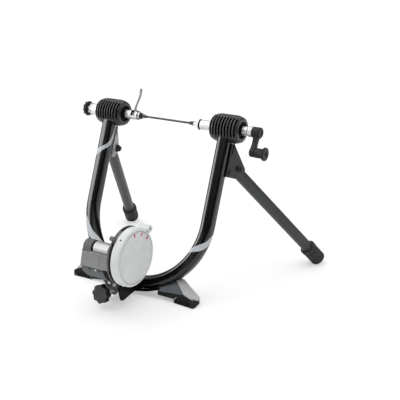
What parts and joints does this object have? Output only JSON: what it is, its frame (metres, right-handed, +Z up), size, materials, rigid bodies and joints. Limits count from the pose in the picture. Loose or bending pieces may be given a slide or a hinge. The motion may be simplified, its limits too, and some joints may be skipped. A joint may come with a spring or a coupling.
{
  "type": "magnetic bike trainer",
  "caption": "Folding U-frame trainer that clamps a rear axle and presses a magnetically braked roller to the tyre, with hinged front legs.",
  "frame": {"origin": "on the floor under the middle of the footprint", "axes": "+Z up, +Y towards the front of the bike, where the folding legs stand, +X towards the chain side, where the crank is"},
  "size_m": [0.6518, 0.6038, 0.462],
  "materials": {
    "gloss_black": "gloss black enamel",
    "satin_grey": "satin dark grey paint",
    "black_plastic": "satin black moulding",
    "rubber": "matt black rubber",
    "bright_steel": "bright plated steel",
    "zinc": "zinc plated steel",
    "slate_plastic": "satin slate moulding",
    "slate_paint": "satin slate paint",
    "light_grey": "fine-grained light grey moulding",
    "warm_grey": "fine-grained warm grey moulding",
    "dark_grey": "satin dark grey moulding",
    "cover_grey": "satin pale grey moulding",
    "magnet": "plain steel plate with bonded magnets"
  },
  "bodies": {
    "frame": {"u_frame_tube": "gloss_black", "left_housing": "black_plastic", "right_housing": "black_plastic", "left_axle_sleeve": "bright_steel", "right_axle_sleeve": "bright_steel", "left_leg_bracket": "satin_grey", "right_leg_bracket": "satin_grey", "left_pivot_bolt": "black_plastic", "right_pivot_bolt": "black_plastic", "left_pivot_knob": "black_plastic", "right_pivot_knob": "black_plastic", "left_foot_base": "slate_plastic", "right_foot_base": "slate_plastic", "left_foot_plate": "light_grey", "right_foot_plate": "light_grey", "left_foot_pad": "rubber", "right_foot_pad": "rubber", "unit_base_bracket": "gloss_black", "unit_pivot_pin": "zinc"},
    "left_leg": {"left_leg_tube": "satin_grey", "left_leg_cap": "rubber"},
    "right_leg": {"right_leg_tube": "satin_grey", "right_leg_cap": "rubber"},
    "left_clamp": {"left_cup": "bright_steel", "skewer_rod": "zinc", "skewer_cam": "bright_steel", "skewer_washer": "black_plastic", "skewer_spring_left": "zinc", "skewer_spring_right": "zinc"},
    "left_dial": {"left_clamp_shaft": "bright_steel", "left_clamp_hexagon": "zinc", "left_dial_knob": "black_plastic"},
    "lever": {"skewer_lever": "bright_steel"},
    "nut": {"skewer_nut": "bright_steel"},
    "right_clamp": {"right_cup": "bright_steel"},
    "crank": {"right_clamp_shaft": "bright_steel", "crank_collar": "bright_steel", "crank_arm": "black_plastic", "crank_grip_pin": "zinc"},
    "crank_handle": {"crank_grip": "black_plastic"},
    "unit": {"swing_bracket": "slate_paint", "roller_cradle": "warm_grey", "back_housing": "dark_grey", "bearing_left": "bright_steel", "bearing_right": "bright_steel", "cradle_bolt_left": "zinc", "cradle_bolt_right": "zinc", "upper_cross_bolt": "zinc", "lower_cross_bolt": "zinc", "tension_nut": "zinc"},
    "roller_rotor": {"roller": "bright_steel", "roller_shaft": "bright_steel", "rotor_disc": "bright_steel"},
    "dial": {"dial_cover": "cover_grey", "magnet_plate": "magnet", "dial_screw": "zinc"},
    "tension_foot": {"tension_tip": "zinc"},
    "tension_hand_screw": {"tension_screw": "zinc", "tension_knob": "black_plastic"}
  },
  "joints": [
    {"name": "left_leg_fold", "type": "hinge", "parent": "frame", "child": "left_leg", "pos_m": [-0.18469, 0.03816, 0.29933], "axis": [-0.9385, -0.3234, 0.1209], "range_deg": [0, 57]},
    {"name": "right_leg_fold", "type": "hinge", "parent": "frame", "child": "right_leg", "pos_m": [0.18469, 0.03816, 0.29933], "axis": [-0.9385, 0.3234, -0.1209], "range_deg": [0, 57]},
    {"name": "left_clamp_slide", "type": "slide", "parent": "frame", "child": "left_clamp", "axis": [-1, 0, 0], "range_m": [0, 0.0095]},
    {"name": "left_dial_turn", "type": "hinge", "parent": "frame", "child": "left_dial", "pos_m": [-0.25, 0.03729, 0.3935], "axis": [-1, 0, 0], "range_deg": [0, 1145]},
    {"name": "skewer_lever_throw", "type": "hinge", "parent": "left_clamp", "child": "lever", "pos_m": [-0.0993, 0.03729, 0.3935], "axis": [0, -1, 0], "range_deg": [0, 25]},
    {"name": "skewer_nut_turn", "type": "hinge", "parent": "left_clamp", "child": "nut", "pos_m": [0.09, 0.03729, 0.3935], "axis": [1, 0, 0], "range_deg": [-180, 180]},
    {"name": "right_clamp_slide", "type": "slide", "parent": "frame", "child": "right_clamp", "axis": [1, 0, 0], "range_m": [0, 0.024]},
    {"name": "crank_turn", "type": "hinge", "parent": "frame", "child": "crank", "pos_m": [0.2351, 0.03729, 0.3935], "axis": [1, 0, 0], "range_deg": [0, 2885]},
    {"name": "crank_handle_spin", "type": "hinge", "parent": "crank", "child": "crank_handle", "pos_m": [0.2534, 0.01655, 0.35154], "axis": [1, 0, 0], "continuous": true},
    {"name": "unit_tilt", "type": "hinge", "parent": "frame", "child": "unit", "pos_m": [0, -0.17816, 0.062], "axis": [-1, 0, 0], "range_deg": [-6, 10]},
    {"name": "roller_spin", "type": "hinge", "parent": "unit", "child": "roller_rotor", "pos_m": [0, -0.23456, 0.1461], "axis": [1, 0, 0], "continuous": true},
    {"name": "dial_turn", "type": "hinge", "parent": "unit", "child": "dial", "pos_m": [0, -0.23456, 0.1461], "axis": [1, 0, 0], "range_deg": [-20, 20]},
    {"name": "tension_slide", "type": "slide", "parent": "unit", "child": "tension_foot", "axis": [0, 0.9866, -0.1633], "range_m": [-0.004, 0.0065]},
    {"name": "tension_knob_turn", "type": "hinge", "parent": "tension_foot", "child": "tension_hand_screw", "pos_m": [0, -0.24666, 0.0378], "axis": [0, 0.9866, -0.1633], "range_deg": [-1060, 1765]}
  ],
  "couplings": [
    {"joint": "left_dial_turn", "follows": "left_clamp_slide", "rad_per_m": 2094.4},
    {"joint": "crank_turn", "follows": "right_clamp_slide", "rad_per_m": 2094.4},
    {"joint": "tension_slide", "follows": "unit_tilt", "m_per_rad": 0.035},
    {"joint": "tension_knob_turn", "follows": "unit_tilt", "ratio": 175.93}
  ]
}
